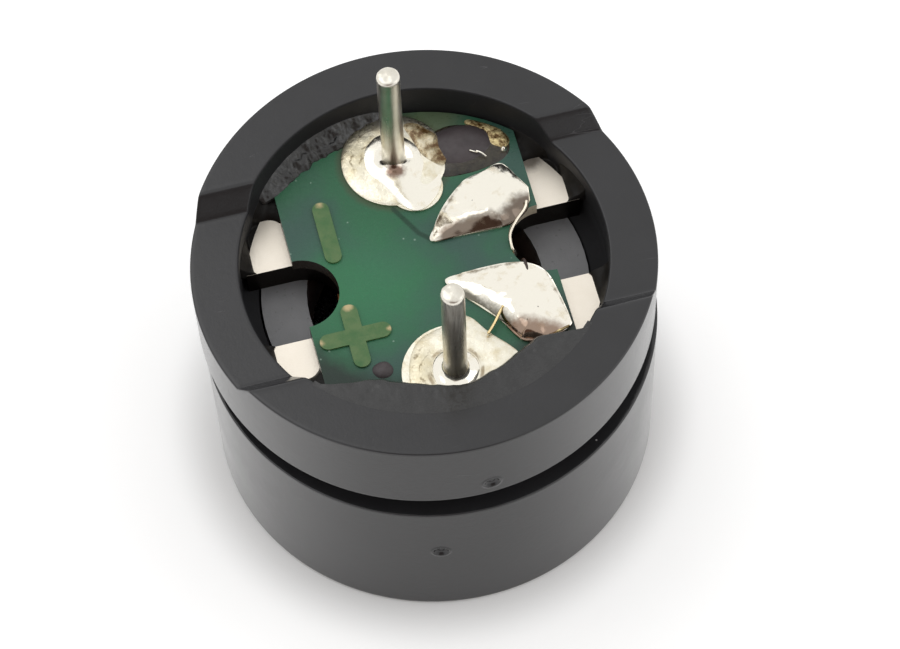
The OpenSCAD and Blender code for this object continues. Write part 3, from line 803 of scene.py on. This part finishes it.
# Wires and threads, in space
FLUX_LINE = [(2.28, -3.0, 7.97), (2.6, -2.93, 8.0), (2.9, -2.84, 8.0), (3.1, -2.78, 7.97)]
LEAD_START = [(2.24, 0.35, 6.1), (2.42, 0.3, 6.35), (2.44, 0.08, 7.1), (2.35, -0.16, 7.72),
              (2.31, -0.05, 7.87), (2.37, 0.28, 7.9), (2.62, 0.62, 7.9), (2.92, 0.9, 7.93), (3.02, 1.1, 7.98)]
LEAD_END = [(2.24, -0.35, 6.1), (2.43, -0.35, 6.4), (2.47, -0.38, 7.3), (2.5, -0.52, 7.84),
            (2.52, -0.72, 7.9), (2.5, -0.95, 7.92)]
GLINT_A = [(1.98, 2.97, 7.99), (2.08, 2.88, 8.02), (2.16, 2.84, 8.0)]
GLINT_B = [(2.14, 2.9, 8.0), (2.26, 2.8, 8.01), (2.36, 2.68, 7.97)]
TAIL_END = [(1.62, -1.85, 8.1), (1.5, -1.96, 8.04), (1.3, -2.2, 7.99), (1.1, -2.42, 7.99),
            (1.05, -2.47, 7.97)]


def positive_collar():
    """Solder round the positive pin: a domed collar and a hollow fillet up the pin."""
    n, rings, inner, reach = 120, 40, 0.27, 0.64
    verts = []
    for k in range(rings + 2):
        f = min(k, rings) / rings
        for j in range(n):
            t = 2 * math.pi * j / n
            edge = reach * (1 + 0.05 * math.sin(t * 2 - 1) + 0.03 * math.sin(3 * t + 1.3))
            r = inner + (edge - inner) * math.sin(f * math.pi / 2)
            x, y = r * math.cos(t), -PIN_Y + r * math.sin(t)
            q = r / edge
            z = 0.05 + 0.15 * (1 - q ** 3.2) ** 0.8 + 0.1 * math.exp(-(r - PIN_R) / 0.05)
            z += 0.01 * noise3(x, y, 3.0, 4.0) * (1 - q)
            verts.append((x, y, FOIL_Z + z if k <= rings else FOIL_Z - 0.02))
    make("joint_positive", verts, grid(rings + 2, n, False, True), SOLDER, "solder", ["solder_positive"])


def negative_height(s, x, y):
    """Solder at the negative pin: a flat collar that runs out into a lobe."""
    far = math.hypot(x, y - PIN_Y)
    d = max(far, PIN_R)
    rise = 0.055 * math.exp(-((d - 0.52) / (0.11 if d < 0.52 else 0.27)) ** 2)
    # a steeper foot on the side of the lobe
    front = max(0.0, (0.2 * -x + 0.98 * (PIN_Y - y)) / max(far, 0.01))
    rise += 0.22 * front ** 1.5 * math.exp(-(d - PIN_R) / 0.15)
    fall = 0.09 * (0.4 - min(x, 0.7)) * min(1.0, max(0.0, (d - 0.6) / 0.3))
    return (0.052 + rise + fall) * (1 - s ** 4) + 0.004 * noise3(x, y, 2.0, 2.4) * (1 - s ** 4)


def pin(name, side, node):
    """Pin with a rounded, slightly lumpy tip."""
    tip, tip_rows, n = 0.09, 8, 72
    profile = [(0.0, PIN_TOP)]
    for k in range(1, tip_rows):
        bend = max(0, (k - 4) / 4) * math.pi / 2
        profile.append(((PIN_R - tip) * min(1, k / 5) + tip * math.sin(bend),
                        PIN_TOP - 0.02 * (k / 8) - tip * (1 - math.cos(bend))))
    profile.append((PIN_R, PIN_TOP - tip - 0.03))
    profile += [(PIN_R, z) for z in np.linspace(PIN_TOP - 0.16, TOP_Z, 24)]
    profile += [(PIN_FOOT_R, PIN_FOOT_Z), (0.0, PIN_FOOT_Z)]
    verts = []
    for i, (r, z) in enumerate(profile):
        for j in range(n):
            t = 2 * math.pi * j / n
            c, s = math.cos(t), math.sin(t)
            around = r * (1 + 0.012 * noise3(c * 1.5, s * 1.5, z * 0.8 + side * 4))
            lump = 0.016 * noise3(r * c * 6, r * s * 6, side * 3.0) if i < tip_rows else 0.0
            verts.append((around * c, side * PIN_Y + around * s, min(z + lump, PIN_TOP)))
    make(name, verts, grid(len(profile), n, False, True), PIN, "pin", [node])


cover()
ring()
potting_front()
potting_back()
ear_film("film_left_back", -1, 1, (3.2, 4.25, 1.08, 2.62, 0.42))
ear_film("film_left_front", -1, -1, (3.22, 4.27, 1.08, 2.24, 0.42))
ear_film("film_right_back", 1, 1, (3.1, 4.2, 1.08, 2.66, 0.45))
ear_film("film_right_front", 1, -1, (2.8, 4.14, 1.08, 2.74, 0.5))

# Solder
make("joint_negative", *mound(NEGATIVE, (0.05, 2.95), FOIL_Z + 0.03, negative_height),
     SOLDER_PIN, "solder", ["solder_negative"])
positive_collar()
make("spread_negative", *mound(PAD_ROUND, (0, PIN_Y), FOIL_Z, dome(0.075, 7)), SPREAD, "solder")
make("spread_positive", *mound(WING, (0.1, -3.0), FOIL_Z, dome(0.075, 7)), SPREAD_PLUS, "solder")
make("joint_coil_start", *mound(START_BACK + START_FRONT[-2:0:-1], (1.85, 1.3), FOIL_Z,
                                ridge(START_FRONT, START_BACK, 0.5), 34),
     SOLDER_START, "solder", ["solder_coil_start"])
make("joint_coil_end", *mound(END_BACK + END_FRONT[-2:0:-1], (2.15, -1.6), FOIL_Z,
                              ridge(END_FRONT, END_BACK, 0.55), 34),
     SOLDER_END, "solder", ["solder_coil_end"])
pin("pin_minus", 1, "pin_negative")
pin("pin_plus", -1, "pin_positive")

# Epoxy drops and flux
make("drop_large", *mound(DROP_LARGE, (1.8, 3.28), FACE_Z, dome(0.22, 2.8)),
     DROP, "epoxy", ["epoxy_drop_large"])
make("drop_small", *mound(DROP_SMALL, (-1.76, -2.7), FACE_Z, dome(0.1, 2.4)),
     DROP, "epoxy", ["epoxy_drop_small"])
make("flux_dark", *mound(FLUX_DARK, (1.9, 3.1), FACE_Z, dome(0.09, 4)), SMOKE, "epoxy")
make("flux_amber", *mound(FLUX_AMBER, (2.75, 3.3), FACE_Z, dome(0.14, 3.5)), AMBER, "epoxy")
make("flux_pin", *mound(FLUX_PIN, (0.98, 3.4), FOIL_Z + 0.07, dome(0.045, 4)), BROWN, "epoxy")
make("flux_line", *tube(FLUX_LINE, 8, 0.035), AMBER, "epoxy")

# Wires and splashes of solder
make("lead_start_wire", *tube(LEAD_START, 12, 0.042), TINNED_WIRE, "copper_wire", ["coil_lead_start"])
make("lead_end_wire", *tube(LEAD_END, 12, 0.04), WIRE, "copper_wire", ["coil_lead_end"])
make("glint_a", *tube(GLINT_A, 8, 0.022), SOLDER, "solder")
make("glint_b", *tube(GLINT_B, 8, 0.026), SOLDER, "solder")
make("glint_ball", *mound(BALL, (2.86, 2.84), FACE_Z + 0.08, dome(0.1, 2.0)), SOLDER, "solder")
make("tail_wire", *tube(TAIL_END, 10, 0.04), TAIL, "copper_wire")

# Solids that are seen as they are, or lie hidden inside
NODE_MATERIALS = {
    "base_plate": STEEL,
    "iron_core": IRON,
    "coil_winding": COIL,
    "ring_magnet": FERRITE,
    "diaphragm": SPRING,
    "diaphragm_weight": IRON,
    "circuit_board": MASK,
    "pad_negative": TINNED,
    "pad_positive": TINNED,
    "pad_coil_start": TINNED,
    "pad_coil_end": TINNED,
    "minus_mark": MINUS_FOIL,
    "plus_mark": PLUS_FOIL,
}
for node, material in NODE_MATERIALS.items():
    slots = NODES[node].data.materials
    slots.clear()
    slots.append(material)


# Studio

def floor():
    half = 1.5
    mesh = bpy.data.meshes.new("floor")
    corners = [(-half, -half, 0), (half, -half, 0), (half, half, 0), (-half, half, 0)]
    mesh.from_pydata(corners, [], [(0, 1, 2, 3)])
    obj = bpy.data.objects.new("floor", mesh)
    bpy.context.scene.collection.objects.link(obj)
    s = Shader("floor_paper", (0.88, 0.88, 0.87), 0.85, IOR=1.35)
    tone = s.noise(6.0, 3)
    s.color(s.mix(tone, (0.92, 0.92, 0.915), (0.94, 0.94, 0.935)))
    s.bump((s.noise(0.3, 4), 0.004))
    # a little white of its own: where it is seen, away from the shadow at the foot of the part,
    # and where it is mirrored, less in front of the part
    path = s.node("ShaderNodeLightPath").outputs
    direct = s.math("MAXIMUM", path["Is Camera Ray"], path["Is Transmission Ray"])
    seen = s.math("MULTIPLY", direct, s.ramp(s.distance((0, 0)), 6, 7.6, 0.02, 0.26))
    mirrored = s.math("MULTIPLY", path["Is Glossy Ray"], s.ramp(s.distance((-2, -10)), 3, 11, 0.0, 0.3))
    s.bsdf.inputs["Emission Color"].default_value = (1, 1, 1, 1)
    s.tree.links.new(s.math("ADD", seen, mirrored), s.bsdf.inputs["Emission Strength"])
    mesh.materials.append(s.material)


def area_light(name, location, size, power):
    data = bpy.data.lights.new(name, "AREA")
    data.shape = "DISK"
    data.size = size
    data.energy = power
    obj = bpy.data.objects.new(name, data)
    bpy.context.scene.collection.objects.link(obj)
    obj.location = location
    target = Vector((0, 0, 0.006))
    obj.rotation_euler = (target - Vector(location)).to_track_quat("-Z", "Y").to_euler()


floor()
area_light("key", (-0.07, 0.09, 0.2), 0.16, 0.054)
area_light("fill", (0.16, -0.04, 0.14), 0.14, 0.035)

# White surroundings with a soft brown patch below the camera, which the fronts of the solder mirror
world = bpy.data.worlds.new("studio")
world.use_nodes = True
tree = world.node_tree
direction = tree.nodes.new("ShaderNodeTexCoord").outputs["Generated"]
towards = tree.nodes.new("ShaderNodeVectorMath")
towards.operation = "DOT_PRODUCT"
towards.inputs[1].default_value = (-0.16, -0.793, 0.588)
tree.links.new(direction, towards.inputs[0])
patch = tree.nodes.new("ShaderNodeMapRange")
patch.interpolation_type = "SMOOTHSTEP"
patch.inputs["From Min"].default_value = 0.84
patch.inputs["From Max"].default_value = 0.93
tree.links.new(towards.outputs["Value"], patch.inputs["Value"])
tint = tree.nodes.new("ShaderNodeMix")
tint.data_type = "RGBA"
tint.inputs[6].default_value = (1, 1, 1, 1)
tint.inputs[7].default_value = (0.2, 0.14, 0.115, 1)
tree.links.new(patch.outputs[0], tint.inputs[0])
tree.links.new(tint.outputs[2], tree.nodes["Background"].inputs[0])
tree.nodes["Background"].inputs[1].default_value = 1.0
bpy.context.scene.world = world
bpy.context.scene.view_settings.view_transform = "Standard"

# Camera fitted to the photograph
camera = bpy.data.cameras.new("camera")
camera.sensor_width = 36.0
camera.lens = 128.0
camera.clip_start, camera.clip_end = 0.005, 10.0
eye = bpy.data.objects.new("camera", camera)
bpy.context.scene.collection.objects.link(eye)
place = Vector((-8.216016, -40.772965, 78.866436)) * MM
right, up = Vector((0.968156, -0.249395, -0.021843)), Vector((0.228014, 0.842395, 0.488241))
turn = Matrix((right, up, right.cross(up))).transposed().to_4x4()
eye.matrix_world = Matrix.Translation(place) @ turn
bpy.context.scene.camera = eye
